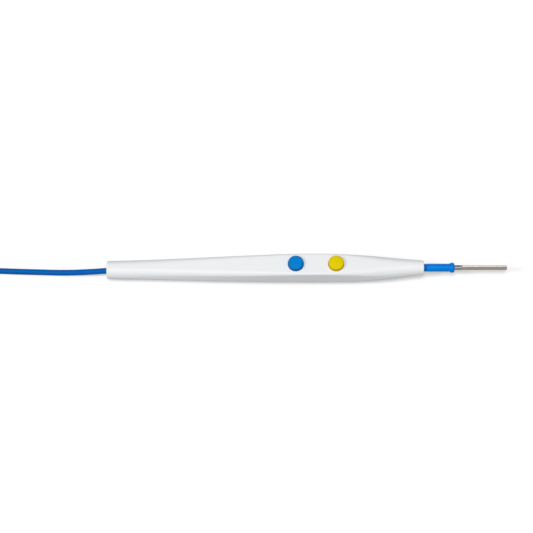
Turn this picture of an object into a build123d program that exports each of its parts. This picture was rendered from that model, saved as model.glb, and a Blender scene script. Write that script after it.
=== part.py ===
from build123d import *
import os
from math import cos, radians, sin, sqrt, tan

# Electrosurgical pencil: a hand switch handle with two buttons, a blade electrode, its lead and its plug.
# X runs from the lead's end of the handle to the blade's tip, Z is up and the belly lies on Z = 0.
# Lengths are in millimetres, and a share is a part of the size that it follows.
os.makedirs("parts", exist_ok=True)

# Handle
handle_length = 145.6
handle_height = 13.0
handle_width = 11.8
wall = 1.3
inner_corner = 0.3
tail_wall = 1.5
nose_wall = 5.0
tail_edge_round = 0.7
nose_edge_round = 0.35
parting_height = 5.7
nose_axis_height = 8.6
parting_bend_round = 60.0
end_round_steps = 4
parting_bend_share = 0.776
lip_thickness = 0.6
lip_height = 0.8
lip_clearance = 0.05
rib_thickness = 1.2
saddle_wall = 0.6

# Each station of the handle: its place along the length, its top and bottom as shares of the height,
# half the deck, the widest line and half the belly as shares of half the width,
# and the roundings of the deck's edge, the widest line and the belly's edge, as shares of half the width.
station_shares = (
    (0.000, 0.762, 0.127, 0.403, 0.807, 0.403, 0.640, 0.640, 0.640),
    (0.120, 0.807, 0.086, 0.507, 0.821, 0.449, 0.523, 0.584, 0.571),
    (0.250, 0.862, 0.040, 0.645, 0.884, 0.518, 0.392, 0.536, 0.536),
    (0.390, 0.924, -0.002, 0.775, 0.960, 0.571, 0.282, 0.510, 0.510),
    (0.549, 0.998, -0.012, 0.881, 1.010, 0.610, 0.203, 0.510, 0.510),
    (0.728, 0.999, -0.012, 0.881, 1.010, 0.610, 0.203, 0.510, 0.510),
    (0.800, 0.977, 0.010, 0.801, 0.985, 0.587, 0.260, 0.510, 0.510),
    (0.863, 0.962, 0.092, 0.660, 0.924, 0.525, 0.407, 0.540, 0.510),
    (0.926, 0.943, 0.250, 0.450, 0.805, 0.432, 0.600, 0.640, 0.600),
    (0.976, 0.929, 0.362, 0.356, 0.686, 0.356, 0.560, 0.560, 0.560),
    (1.000, 0.912, 0.412, 0.318, 0.636, 0.318, 0.508, 0.508, 0.508),
)

# Hand switch
board_length = 58.0
board_width = 7.6
board_thickness = 1.0
board_top = 8.5
board_front_setback = 27.6
board_corner_round = 0.8
peg_diameter = 1.1
peg_clearance = 0.05
peg_stand = 0.8
board_end_rib_inset = 4.0
spacer_thickness = 0.2
spacer_width = 7.0
spacer_overhang = 10.0
spacer_window_clearance = 0.15
vent_width = 0.8
dome_diameter = 6.0
dome_height = 0.9
dome_thickness = 0.15
cut_button_setback = 40.3
button_spacing = 18.4
button_diameter = 7.1
button_clearance = 0.1
button_stand = 1.9
button_crown = 0.25
button_edge_round = 0.55
flange_length = 9.0
flange_width = 7.4
flange_thickness = 0.8
flange_clearance = 0.2
stem_diameter = 3.0
stem_clearance = 0.05

# Electrode and its receptacle
electrode_length = 63.5
electrode_insertion = 25.1
shank_diameter = 2.38
blade_length = 19.9
blade_width = 2.5
blade_thickness = 1.0
blade_edge_round = 0.3
blade_tip_round = 0.9
blade_roll = 70.0
shoulder_length = 1.9
sleeve_diameter = 3.56
sleeve_flats = 3.3
sleeve_exposure = 14.2
sleeve_depth = 4.7
sleeve_hex_exposure = 1.8
sleeve_clearance = 0.05
ring_diameter = 4.6
ring_length = 1.9
ring_lip = 0.35
flare_length = 0.6
receptacle_length = 20.0
receptacle_diameter = 3.4
receptacle_clearance = 0.02
receptacle_floor = 1.0
shank_end_gap = 0.1
finger_slit = 0.5
finger_length = 9.0
receptacle_mouth_chamfer = 0.3
saddle_clearance = 0.02
saddle_inset = 4.2
strap_width = 2.4
strap_thickness = 0.3
strap_foot = 5.6
strap_tab = 1.8

# Lead
cord_diameter = 2.7
cord_exit_height = 5.2
cord_hole_clearance = 0.25
anchor_setback = 12.0
anchor_diameter = 3.7
anchor_flange_diameter = 4.2
anchor_flange = 0.9
anchor_clearance = 0.05
wire_diameter = 1.0
wire_ring = 0.64
wire_pitch = 2.3
wire_seat_clearance = 0.02
wire_landing = 1.6
wire_lead_in = 8.0
wire_bend = 10.0
core_turn = 120
solder_diameter = 2.0
strap_solder_diameter = 1.6

# Hank of spare lead, wound flat and tied round its waist
hank_columns = 4
hank_rows = 4
hank_fold_shares = 3
hank_run = 48.0
hank_edge_round = 1.2
eye_share = 0.45
hank_waist_x = -192.0
hank_y = -13.8
tie_width = 4.0
tie_thickness = 0.6
tie_corner = 1.5
tie_twist_length = 12.0
tie_twist_diameter = 1.5

# Plug
plug_length = 28.0
plug_width = 38.0
plug_neck_width = 11.0
plug_neck_length = 5.0
plug_shoulder = 13.0
plug_thickness = 11.0
plug_corner = 4.0
plug_edge_round = 1.6
plug_wall = 1.8
plug_front_wall = 3.0
pin_diameter = 4.0
pin_length = 19.0
pin_neck_diameter = 3.4
pin_collar_diameter = 5.6
pin_collar = 1.6
pin_cup = 4.5
pin_cup_bore = 1.2
pin_cup_depth = 3.0
pin_tip_round = 1.6
pin_seat_clearance = 0.05
active_to_cut_pitch = 15.9
cut_to_coag_pitch = 12.7
boot_free_length = 18.0
boot_root_diameter = 7.6
boot_tip_diameter = 4.4
boot_neck = 2.2
boot_neck_diameter = 5.4
boot_flange = 1.8
boot_flange_diameter = 7.0
boot_groove = 0.9
boot_groove_depth = 0.55
boot_grooves = 5
cord_in_boot = 17.0
plug_wire_diameter = 1.0
plug_wire_bend = 1.2

# Cuts run past the faces that they open by this much
overrun = 2.0

# Route of the lead from inside the handle, down to the table and back to the hank
lead_route = (
    (-78.0, 0.0, 5.2),
    (-98.0, 0.0, 5.2),
    (-118.5, 0.7, 1.35),
    (-141.0, 1.25, 1.35),
    (-160.0, 2.4, 1.35),
    (-172.0, 2.4, 1.35),
)
# Route from the hank's last turn to the plug
tail_route = (
    (-212.0, 2.4, 9.45),
    (-220.0, 2.4, 9.45),
    (-227.2, -1.4, 9.5),
    (-232.8, -9.7, 9.45),
    (-240.4, -13.7, 8.3),
    (-250.5, -13.7, 6.0),
    (-262.0, -13.7, 5.5),
    (-273.0, -13.7, 5.5),
)
# Each corner of a route is rounded by an arc that takes this share of the shorter run beside it
arc_share = 0.45

# Places that follow from the sizes
tail_x = -(handle_length + electrode_length - electrode_insertion) / 2
nose_x = tail_x + handle_length
tip_x = tail_x + handle_length + electrode_length - electrode_insertion
parting_bend_x = tail_x + parting_bend_share * handle_length
cut_x = nose_x - cut_button_setback
coag_x = cut_x - button_spacing
middle_x = (cut_x + coag_x) / 2
board_front_x = nose_x - board_front_setback
board_rear_x = board_front_x - board_length
board_bottom = board_top - board_thickness
deck_under = handle_height - wall
flange_top = deck_under - flange_clearance
flange_bottom = flange_top - flange_thickness
stem_foot = board_top + dome_height + stem_clearance
shank_rear_x = nose_x - electrode_insertion
receptacle_rear_x = shank_rear_x - shank_end_gap - receptacle_floor
receptacle_front_x = receptacle_rear_x + receptacle_length
jacket_end_x = lead_route[0][0]
anchor_x = tail_x + anchor_setback
plug_y, plug_axis_height = tail_route[-1][1:]
plug_face_x = tail_route[-1][0] + cord_in_boot - boot_free_length
plug_front_x = plug_face_x - plug_length


def parting_level(x):
    """Height of the line where the two shells meet: level, then rising in a straight line to the nose."""
    rise_share = max(0, (x - parting_bend_x) / (nose_x - parting_bend_x))
    return parting_height + rise_share * (nose_axis_height - parting_height)


def station_x(place_share):
    """Stations are shared out between the tail's rounded edge and the nose's."""
    return tail_x + tail_edge_round + place_share * (handle_length - tail_edge_round - nose_edge_round)


def handle_section(shares, inset, x):
    """Six-sided section of the handle with rounded corners, drawn in from its outside by the inset."""
    top, bottom, deck, side, belly, deck_round, side_round, belly_round = shares[1:]
    half = handle_width / 2
    right = (
        Vector(deck * half, top * handle_height),
        Vector(side * half, parting_level(x)),
        Vector(belly * half, bottom * handle_height),
    )
    corners = [Vector(-right[0].X, right[0].Y), *right, *(Vector(-p.X, p.Y) for p in right[:0:-1])]
    rounds = [deck_round, deck_round, side_round, belly_round, belly_round, side_round]
    drawn_in = []
    for before, corner, after in zip(corners[-1:] + corners[:-1], corners, corners[1:] + corners[:1]):
        arriving = (corner - before).normalized()
        leaving = (after - corner).normalized()
        inward = Vector(arriving.Y, -arriving.X), Vector(leaving.Y, -leaving.X)
        drawn_in.append(corner + (inward[0] + inward[1]) * (inset / (1 + inward[0].dot(inward[1]))))
    with BuildSketch(Plane.YZ.offset(x)) as section:
        with BuildLine():
            left_off = []
            for before, corner, after, share in zip(
                drawn_in[-1:] + drawn_in[:-1], drawn_in, drawn_in[1:] + drawn_in[:1], rounds
            ):
                arriving = (corner - before).normalized()
                leaving = (after - corner).normalized()
                half_turn = radians(arriving.get_angle(leaving)) / 2
                radius = max(share * half - inset, inner_corner)
                start = corner - arriving * radius * tan(half_turn)
                end = corner + leaving * radius * tan(half_turn)
                middle = corner + (leaving - arriving).normalized() * radius * (1 / cos(half_turn) - 1)
                ThreePointArc(start, middle, end)
                left_off.append((start, end))
            for (_, end), (start, _) in zip(left_off, left_off[1:] + left_off[:1]):
                Line(end, start)
        make_face()
    return section.sketch


def handle_loft(inset):
    """Smooth body through all stations of the handle, drawn in by the inset."""
    with BuildPart() as body:
        loft(sections=[handle_section(shares, inset, station_x(shares[0])) for shares in station_shares])
    return body.part


def rounded_end(shares, end_x, inward, edge_round):
    """Slice at one end of the handle, drawn in along a quarter circle towards the end's flat face."""
    sections = []
    for step in range(end_round_steps + 1):
        angle = radians(90 * step / end_round_steps)
        x = end_x + inward * edge_round * (1 - cos(angle))
        sections.append(handle_section(shares, edge_round * (1 - sin(angle)), x))
    with BuildPart() as end:
        loft(sections=sections)
    return end.part


def inner_loft(inset):
    """The same body between the tail wall and the nose wall, whose end sections stand on those walls."""
    places = [station_x(shares[0]) for shares in station_shares[:-1]]
    places[0] = tail_x + tail_wall
    places[-1] = nose_x - nose_wall
    with BuildPart() as body:
        loft(sections=[handle_section(shares, inset, x) for shares, x in zip(station_shares, places)])
    return body.part


def below_parting(lift):
    """Everything under the shells' parting line, which is lifted by the given height."""
    with BuildPart() as region:
        with BuildSketch(Plane.XZ) as outline:
            with BuildLine():
                FilletPolyline(
                    (tail_x - overrun, -overrun),
                    (tail_x - overrun, parting_height + lift),
                    (parting_bend_x, parting_height + lift),
                    (nose_x + overrun, parting_level(nose_x + overrun) + lift),
                    (nose_x + overrun, -overrun),
                    radius=[0, 0, parting_bend_round, 0, 0],
                    close=True,
                )
            make_face()
        extrude(amount=handle_width, both=True)
    return region.part


def corner_radii(route):
    """Radius of the arc at each corner of a route."""
    points = [Vector(*point) for point in route]
    runs = [after - before for before, after in zip(points, points[1:])]
    radii = []
    for run, following in zip(runs, runs[1:]):
        half_turn = radians(run.get_angle(following)) / 2
        radii.append(arc_share * min(run.length, following.length) / tan(half_turn))
    return radii


def tube(route, diameter, radii):
    """Round tube along straight runs that are joined by tangent arcs."""
    with BuildPart() as run:
        with BuildLine() as path:
            FilletPolyline(*route, radius=radii)
        with BuildSketch(Plane(origin=path.line @ 0, z_dir=path.line % 0)):
            Circle(diameter / 2)
        sweep()
    return run.part


def capped_arc(radius, foot, height):
    """Half of a shallow dome's outline, from its rim to its crown."""
    ball = (radius**2 + height**2) / (2 * height)
    middle = Vector(radius / 2, foot + height - ball + sqrt(ball**2 - (radius / 2) ** 2))
    return ThreePointArc((radius, foot), middle, (0, foot + height))


def rib_blanks(places, grows):
    """Flat ribs across the handle: each stands at its X and ends at its seat height."""
    with BuildPart() as blanks:
        for x, seat in places:
            with Locations((x, 0, seat)):
                Box(rib_thickness, handle_width, handle_height, align=(Align.CENTER, Align.CENTER, grows))
    return blanks.part


def flange_plan(x, grown):
    """Plan of a button's flange, a disc with two flats that keep it from turning, grown by a clearance."""
    with BuildSketch() as plan:
        with Locations((x, 0)):
            Circle(flange_length / 2 + grown)
            Rectangle(flange_length + 2 * grown, flange_width + 2 * grown, mode=Mode.INTERSECT)
    return plan.sketch


# Outer form of the handle, and the forms drawn in from it
with BuildPart() as outside:
    add(handle_loft(0))
    add(rounded_end(station_shares[0], tail_x, 1, tail_edge_round))
    add(rounded_end(station_shares[-1], nose_x, -1, nose_edge_round))
    split(bisect_by=Plane.XY, keep=Keep.TOP)

cavity = inner_loft(wall)
lip_outside = inner_loft(wall - lip_thickness)
lip_recess = inner_loft(wall - lip_thickness - lip_clearance)

# Ribs: the board and the receptacle lie on the lower ones and are held down by the upper ones
saddle_places = (receptacle_rear_x + saddle_inset, receptacle_front_x - saddle_inset)
board_end_ribs = (board_rear_x + board_end_rib_inset, board_front_x - board_end_rib_inset)
saddle_width = receptacle_diameter + 2 * saddle_wall
lower_rib_tops = [(x, board_bottom, board_width) for x in (*board_end_ribs, coag_x, cut_x)]
lower_rib_tops += [(x, nose_axis_height, saddle_width) for x in saddle_places]
spacer_top = board_top + spacer_thickness
spacer_rear_x = coag_x - spacer_overhang
spacer_front_x = cut_x + spacer_overhang - spacer_window_clearance - strap_width
upper_rib_places = [(coag_x - button_spacing / 2, spacer_top), (middle_x, spacer_top)]
upper_rib_places += [(board_rear_x + board_end_rib_inset + wire_landing, board_top)]
upper_rib_places += [(cut_x + flange_length / 2 + rib_thickness, spacer_top)]
upper_rib_places += [(x, nose_axis_height) for x in saddle_places]
anchor_rib_gap = rib_thickness + 2 * anchor_clearance

# Openings cut through both shells: the lead's hole, its ferrule's bed, the receptacle's bed and the socket
with BuildPart() as bores:
    with BuildSketch(Plane.YZ.offset(tail_x - overrun)):
        with Locations((0, cord_exit_height)):
            Circle(cord_diameter / 2 + cord_hole_clearance)
    extrude(amount=tail_wall + 2 * overrun)
    with BuildSketch(Plane.YZ.offset(anchor_x - rib_thickness)):
        with Locations((0, cord_exit_height)):
            Circle(anchor_diameter / 2 + anchor_clearance)
    extrude(amount=2 * rib_thickness)
    with BuildSketch(Plane.YZ.offset(receptacle_rear_x)):
        with Locations((0, nose_axis_height)):
            Circle(receptacle_diameter / 2 + saddle_clearance)
    extrude(amount=receptacle_length)
    with BuildSketch(Plane.YZ.offset(nose_x - nose_wall - overrun)):
        with Locations((0, nose_axis_height)):
            Circle(sleeve_diameter / 2 + sleeve_clearance)
            RegularPolygon(
                sleeve_flats / 2 + sleeve_clearance, side_count=6, major_radius=False, mode=Mode.INTERSECT
            )
    extrude(amount=nose_wall + 2 * overrun)

# Lower shell: the belly half, with a lip that stands inside the upper shell
with BuildPart() as lower_ribs:
    add(rib_blanks([(x, parting_level(x)) for x, *_ in lower_rib_tops], Align.MAX))
    add(rib_blanks([(anchor_x, parting_height)], Align.MAX))
    add(lip_recess, mode=Mode.INTERSECT)
    for x, seat, width in lower_rib_tops:
        with Locations((x, 0, seat)):
            Box(
                rib_thickness,
                width,
                seat - parting_height / 2,
                align=(Align.CENTER, Align.CENTER, Align.MAX),
            )
    with Locations(*((x, 0, board_bottom) for x in board_end_ribs)):
        Cylinder(peg_diameter / 2, peg_stand, align=(Align.CENTER, Align.CENTER, Align.MIN))

with BuildPart() as lower_lip:
    add(lip_outside)
    add(below_parting(lip_height), mode=Mode.INTERSECT)

with BuildPart() as lower_shell:
    add(outside.part)
    add(below_parting(0), mode=Mode.INTERSECT)
    add(lower_lip.part)
    add(cavity, mode=Mode.SUBTRACT)
    add(lower_ribs.part)
    add(bores.part, mode=Mode.SUBTRACT)

# Upper shell: the deck half, with the two button holes
with BuildPart() as upper_ribs:
    add(rib_blanks([*upper_rib_places, (anchor_x, parting_height)], Align.MIN))
    add(lip_recess, mode=Mode.INTERSECT)

with BuildPart() as lip_groove:
    add(lip_recess)
    add(below_parting(lip_height + lip_clearance), mode=Mode.INTERSECT)

with BuildPart() as upper_shell:
    add(outside.part)
    add(below_parting(0), mode=Mode.SUBTRACT)
    add(cavity, mode=Mode.SUBTRACT)
    add(upper_ribs.part)
    add(lip_groove.part, mode=Mode.SUBTRACT)
    with Locations((cut_x, 0, deck_under), (coag_x, 0, deck_under)):
        Cylinder(
            button_diameter / 2 + button_clearance,
            wall + overrun,
            align=(Align.CENTER, Align.CENTER, Align.MIN),
            mode=Mode.SUBTRACT,
        )
    with BuildSketch(Plane.XY.offset(deck_under)):
        for x in (cut_x, coag_x):
            add(flange_plan(x, flange_clearance))
    extrude(amount=spacer_top - deck_under, mode=Mode.SUBTRACT)
    add(bores.part, mode=Mode.SUBTRACT)

# Circuit board that carries both switches
with BuildPart() as switch_board:
    with BuildSketch(Plane.XY.offset(board_bottom)):
        with Locations(((board_front_x + board_rear_x) / 2, 0)):
            RectangleRounded(board_length, board_width, board_corner_round)
        with Locations(*((x, 0) for x in board_end_ribs)):
            Circle(peg_diameter / 2 + peg_clearance, mode=Mode.SUBTRACT)
    extrude(amount=board_thickness)

# Film that keeps both snap domes in place, with a vent between them
with BuildPart() as dome_spacer:
    with BuildSketch(Plane.XY.offset(board_top)):
        with Locations(((spacer_front_x + spacer_rear_x) / 2, 0)):
            Rectangle(spacer_front_x - spacer_rear_x, spacer_width)
        with Locations((cut_x, 0), (coag_x, 0)):
            Circle(dome_diameter / 2 + spacer_window_clearance, mode=Mode.SUBTRACT)
        with Locations((middle_x, 0)):
            Rectangle(button_spacing, vent_width, mode=Mode.SUBTRACT)
    extrude(amount=spacer_thickness)


def snap_dome(x):
    """Sprung metal dome that the button presses flat."""
    with BuildPart() as dome:
        with BuildSketch(Plane(origin=(x, 0, 0), x_dir=(1, 0, 0), z_dir=(0, -1, 0))):
            with BuildLine():
                capped_arc(dome_diameter / 2, board_top, dome_height)
                Line((0, board_top + dome_height), (0, board_top + dome_height - dome_thickness))
                capped_arc(dome_diameter / 2 - dome_thickness, board_top, dome_height - dome_thickness)
                Line((dome_diameter / 2 - dome_thickness, board_top), (dome_diameter / 2, board_top))
            make_face()
        revolve(axis=Axis((x, 0, 0), (0, 0, 1)))
    return dome.part


def push_button(x):
    """Round cap with a crowned top, over a flange that catches under the deck and a stem above the dome."""
    cap = button_diameter / 2
    rim = handle_height + button_stand - button_crown
    stem = stem_diameter / 2
    with BuildPart() as button:
        with BuildSketch(Plane(origin=(x, 0, 0), x_dir=(1, 0, 0), z_dir=(0, -1, 0))) as outline:
            with BuildLine():
                capped_arc(cap, rim, button_crown)
                Polyline((cap, rim), (cap, flange_bottom), (stem, flange_bottom), (stem, stem_foot))
                Polyline((stem, stem_foot), (0, stem_foot), (0, rim + button_crown))
            make_face()
            fillet(outline.vertices().sort_by_distance((cap, rim))[0], button_edge_round)
        revolve(axis=Axis((x, 0, 0), (0, 0, 1)))
        with BuildSketch(Plane.XY.offset(flange_bottom)):
            add(flange_plan(x, 0))
        extrude(amount=flange_thickness)
    return button.part


with BuildPart() as cut_dome:
    add(snap_dome(cut_x))

with BuildPart() as coag_dome:
    add(snap_dome(coag_x))

with BuildPart() as cut_button:
    add(push_button(cut_x))

with BuildPart() as coag_button:
    add(push_button(coag_x))

# Brass receptacle with four sprung fingers
with BuildPart() as electrode_receptacle:
    with BuildSketch(Plane.YZ.offset(receptacle_rear_x)):
        with Locations((0, nose_axis_height)):
            Circle(receptacle_diameter / 2)
    extrude(amount=receptacle_length)
    with BuildSketch(Plane.YZ.offset(receptacle_rear_x + receptacle_floor)):
        with Locations((0, nose_axis_height)):
            Circle(shank_diameter / 2 + receptacle_clearance)
    extrude(amount=receptacle_length, mode=Mode.SUBTRACT)
    mouth = electrode_receptacle.faces().sort_by(Axis.X)[-1]
    chamfer(mouth.inner_wires().edges(), receptacle_mouth_chamfer)
    with BuildSketch(Plane.YZ.offset(receptacle_front_x - finger_length)):
        with Locations((0, nose_axis_height)):
            Rectangle(receptacle_diameter + overrun, finger_slit)
            Rectangle(finger_slit, receptacle_diameter + overrun)
    extrude(amount=finger_length, mode=Mode.SUBTRACT)

# Strip that joins the receptacle to the board
with BuildPart() as receptacle_strap:
    with BuildSketch(Plane.XZ):
        with BuildLine():
            Polyline(
                (receptacle_rear_x - strap_foot, board_top),
                (receptacle_rear_x, board_top),
                (receptacle_rear_x, board_top + strap_tab),
                (receptacle_rear_x - strap_thickness, board_top + strap_tab),
                (receptacle_rear_x - strap_thickness, board_top + strap_thickness),
                (receptacle_rear_x - strap_foot, board_top + strap_thickness),
                close=True,
            )
        make_face()
    extrude(amount=strap_width / 2, both=True)

# Blade electrode: a round rod whose front is pressed flat and turned on its side
flat_across = Vector(0, cos(radians(blade_roll)), sin(radians(blade_roll)))
flat_normal = Vector(0, -sin(radians(blade_roll)), cos(radians(blade_roll)))
blade_start_x = tip_x - blade_length
shank_front_x = blade_start_x - shoulder_length

with BuildPart() as electrode_blade:
    with BuildSketch(Plane(origin=(shank_rear_x, 0, nose_axis_height), x_dir=flat_across, z_dir=(1, 0, 0))):
        Circle(shank_diameter / 2)
    extrude(amount=shank_front_x - shank_rear_x)
    with BuildSketch(Plane(origin=(shank_front_x, 0, nose_axis_height), x_dir=flat_across, z_dir=(1, 0, 0))):
        Circle(shank_diameter / 2)
    with BuildSketch(Plane(origin=(blade_start_x, 0, nose_axis_height), x_dir=flat_across, z_dir=(1, 0, 0))):
        RectangleRounded(blade_width, blade_thickness, blade_edge_round)
    loft()
    with BuildSketch(Plane(origin=(blade_start_x, 0, nose_axis_height), x_dir=flat_across, z_dir=(1, 0, 0))):
        RectangleRounded(blade_width, blade_thickness, blade_edge_round)
    extrude(amount=blade_length)
    with BuildSketch(Plane(origin=(tip_x, 0, nose_axis_height), x_dir=(1, 0, 0), z_dir=flat_normal)):
        with Locations((-blade_tip_round / 2, 0)):
            Rectangle(blade_tip_round, blade_width + overrun)
        with Locations((-electrode_length / 2, 0)):
            RectangleRounded(electrode_length, blade_width, blade_tip_round, mode=Mode.SUBTRACT)
    extrude(amount=blade_thickness, both=True, mode=Mode.SUBTRACT)

# Moulded sleeve on the electrode: six flats at the nose, round in the middle, a ring at the front
sleeve_rear_x = nose_x - sleeve_depth
sleeve_front_x = nose_x + sleeve_exposure
sleeve_radius = sleeve_diameter / 2
with BuildPart() as electrode_sleeve:
    with BuildSketch(Plane.XZ):
        with BuildLine():
            Polyline(
                (sleeve_front_x - ring_length - flare_length, nose_axis_height + sleeve_radius),
                (sleeve_rear_x, nose_axis_height + sleeve_radius),
                (sleeve_rear_x, nose_axis_height + shank_diameter / 2),
                (sleeve_front_x, nose_axis_height + shank_diameter / 2),
                (sleeve_front_x, nose_axis_height + sleeve_radius),
            )
            ThreePointArc(
                (sleeve_front_x, nose_axis_height + sleeve_radius),
                (sleeve_front_x - ring_length / 2, nose_axis_height + ring_diameter / 2),
                (sleeve_front_x - ring_length, nose_axis_height + sleeve_radius + ring_lip / 2),
            )
            Line(
                (sleeve_front_x - ring_length, nose_axis_height + sleeve_radius + ring_lip / 2),
                (sleeve_front_x - ring_length - flare_length, nose_axis_height + sleeve_radius),
            )
        make_face()
    revolve(axis=Axis((0, 0, nose_axis_height), (1, 0, 0)))
    with BuildSketch(Plane.YZ.offset(sleeve_rear_x)):
        with Locations((0, nose_axis_height)):
            Circle(ring_diameter)
            RegularPolygon(sleeve_flats / 2, side_count=6, major_radius=False, mode=Mode.SUBTRACT)
    extrude(amount=sleeve_depth + sleeve_hex_exposure, mode=Mode.SUBTRACT)

# Lead from the crimp inside the handle to the hank
with BuildPart() as cord_lead:
    add(tube(lead_route, cord_diameter, corner_radii(lead_route)))

with BuildPart() as cord_tail:
    add(tube(tail_route, cord_diameter, corner_radii(tail_route)))

# Crimped ferrule that holds the lead between the shells' tail ribs
with BuildPart() as cable_anchor:
    with BuildSketch(Plane.YZ.offset(anchor_x - anchor_rib_gap / 2 - anchor_flange)):
        with Locations((0, cord_exit_height)):
            Circle(anchor_flange_diameter / 2)
    extrude(amount=anchor_flange)
    with BuildSketch(Plane.YZ.offset(anchor_x + anchor_rib_gap / 2)):
        with Locations((0, cord_exit_height)):
            Circle(anchor_flange_diameter / 2)
    extrude(amount=anchor_flange)
    with BuildSketch(Plane.YZ.offset(anchor_x - anchor_rib_gap / 2)):
        with Locations((0, cord_exit_height)):
            Circle(anchor_diameter / 2)
    extrude(amount=anchor_rib_gap)
    with BuildSketch(Plane.YZ.offset(anchor_x - anchor_rib_gap / 2 - anchor_flange)):
        with Locations((0, cord_exit_height)):
            Circle(cord_diameter / 2)
    extrude(amount=anchor_rib_gap + 2 * anchor_flange, mode=Mode.SUBTRACT)


def board_wire(turn, y):
    """Insulated wire from its place in the lead's core to its pad at the rear of the board."""
    start_y = wire_ring * sin(radians(turn))
    start_z = cord_exit_height + wire_ring * cos(radians(turn))
    rest_z = board_top + wire_diameter / 2 + wire_seat_clearance
    route = (
        (jacket_end_x, start_y, start_z),
        (jacket_end_x + wire_lead_in, start_y, start_z),
        (board_rear_x - wire_lead_in, y, rest_z),
        (board_rear_x + wire_landing, y, rest_z),
    )
    return tube(route, wire_diameter, [wire_bend, wire_bend])


with BuildPart() as active_wire:
    add(board_wire(0, 0))

with BuildPart() as cut_wire:
    add(board_wire(core_turn, wire_pitch))

with BuildPart() as coag_wire:
    add(board_wire(-core_turn, -wire_pitch))

# Solder at each wire's end and at the strap's foot
with BuildPart() as solder_joints:
    with Locations(*((board_rear_x + wire_landing, y, board_top) for y in (-wire_pitch, 0, wire_pitch))):
        Sphere(solder_diameter / 2, arc_size1=0, align=(Align.CENTER, Align.CENTER, Align.MIN))
    with Locations((receptacle_rear_x - strap_foot / 2, 0, board_top + strap_thickness)):
        Sphere(strap_solder_diameter / 2, arc_size1=0, align=(Align.CENTER, Align.CENTER, Align.MIN))
    add(active_wire.part, mode=Mode.SUBTRACT)
    add(cut_wire.part, mode=Mode.SUBTRACT)
    add(coag_wire.part, mode=Mode.SUBTRACT)

# Hank: both folds round, the waist drawn together under the tie
fold_radius = hank_fold_shares * cord_diameter
hank_half_width = fold_radius + (hank_columns - 1 / 2) * cord_diameter
hank_height = hank_rows * cord_diameter
waist_half_width = hank_columns * cord_diameter
near_fold_x = hank_waist_x + hank_run / 2
far_fold_x = hank_waist_x - hank_run / 2
straight_back = ((-1, 0), (-1, 0))

with BuildPart() as cord_hank:
    with BuildSketch():
        with BuildLine():
            ThreePointArc(
                (near_fold_x, hank_y + hank_half_width),
                (near_fold_x + hank_half_width, hank_y),
                (near_fold_x, hank_y - hank_half_width),
            )
            ThreePointArc(
                (far_fold_x, hank_y + hank_half_width),
                (far_fold_x - hank_half_width, hank_y),
                (far_fold_x, hank_y - hank_half_width),
            )
            for side in (-1, 1):
                waist = (hank_waist_x, hank_y + side * waist_half_width)
                near = (near_fold_x, hank_y + side * hank_half_width)
                far = (far_fold_x, hank_y + side * hank_half_width)
                Spline(near, waist, tangents=straight_back)
                Spline(waist, far, tangents=straight_back)
        make_face()
        for fold_x in (near_fold_x, far_fold_x):
            with BuildSketch(mode=Mode.SUBTRACT):
                with Locations((fold_x, hank_y)):
                    Circle(fold_radius - cord_diameter / 2)
                with Locations((hank_waist_x + (fold_x - hank_waist_x) * eye_share, hank_y)):
                    Circle(tie_thickness)
                make_hull()
    extrude(amount=hank_height)
    fillet(cord_hank.faces().filter_by(Axis.Z).edges(), hank_edge_round)
    with BuildSketch(Plane.YZ.offset(hank_waist_x - tie_width / 2)):
        with Locations((hank_y, hank_height / 2)):
            Rectangle(2 * waist_half_width + overrun, hank_height + overrun)
            RectangleRounded(
                2 * (waist_half_width - tie_thickness),
                hank_height - 2 * tie_thickness,
                tie_corner - tie_thickness,
                mode=Mode.SUBTRACT,
            )
    extrude(amount=tie_width, mode=Mode.SUBTRACT)

# Twist tie round the waist, with its two ends twisted together on top
with BuildPart() as hank_tie:
    with BuildSketch(Plane.YZ.offset(hank_waist_x - tie_width / 2)):
        with Locations((hank_y, hank_height / 2)):
            RectangleRounded(2 * waist_half_width, hank_height, tie_corner)
            RectangleRounded(
                2 * (waist_half_width - tie_thickness),
                hank_height - 2 * tie_thickness,
                tie_corner - tie_thickness,
                mode=Mode.SUBTRACT,
            )
    extrude(amount=tie_width)
    with BuildSketch(Plane.XY.offset(hank_height - tie_thickness)):
        with Locations((hank_waist_x, hank_y)):
            Rectangle(tie_width, 2 * tie_twist_diameter)
    extrude(amount=tie_thickness + tie_twist_diameter)
    with BuildSketch(Plane.YZ.offset(hank_waist_x)):
        with Locations((hank_y, hank_height + tie_twist_diameter / 2)):
            Circle(tie_twist_diameter / 2)
    extrude(amount=tie_twist_length)

# Strain relief: a tapered, ringed boot whose neck is held in the plug's entry
boot_tip_x = plug_face_x + boot_free_length
boot_taper = (boot_root_diameter - boot_tip_diameter) / 2
with BuildPart() as plug_boot:
    with BuildSketch(Plane(origin=(0, plug_y, plug_axis_height), x_dir=(1, 0, 0), z_dir=(0, -1, 0))):
        with BuildLine():
            Polyline(
                (boot_tip_x, cord_diameter / 2),
                (boot_tip_x, boot_tip_diameter / 2),
                (plug_face_x, boot_root_diameter / 2),
                (plug_face_x, boot_neck_diameter / 2),
                (plug_face_x - boot_neck, boot_neck_diameter / 2),
                (plug_face_x - boot_neck, boot_flange_diameter / 2),
                (plug_face_x - boot_neck - boot_flange, boot_flange_diameter / 2),
                (plug_face_x - boot_neck - boot_flange, cord_diameter / 2),
                close=True,
            )
        make_face()
        for ring in range(1, boot_grooves + 1):
            place_share = ring / (boot_grooves + 1)
            ring_radius = boot_root_diameter / 2 - place_share * boot_taper
            with Locations((plug_face_x + place_share * boot_free_length, ring_radius)):
                Rectangle(boot_groove, 2 * boot_groove_depth, mode=Mode.SUBTRACT)
    revolve(axis=Axis((0, plug_y, plug_axis_height), (1, 0, 0)))

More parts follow.
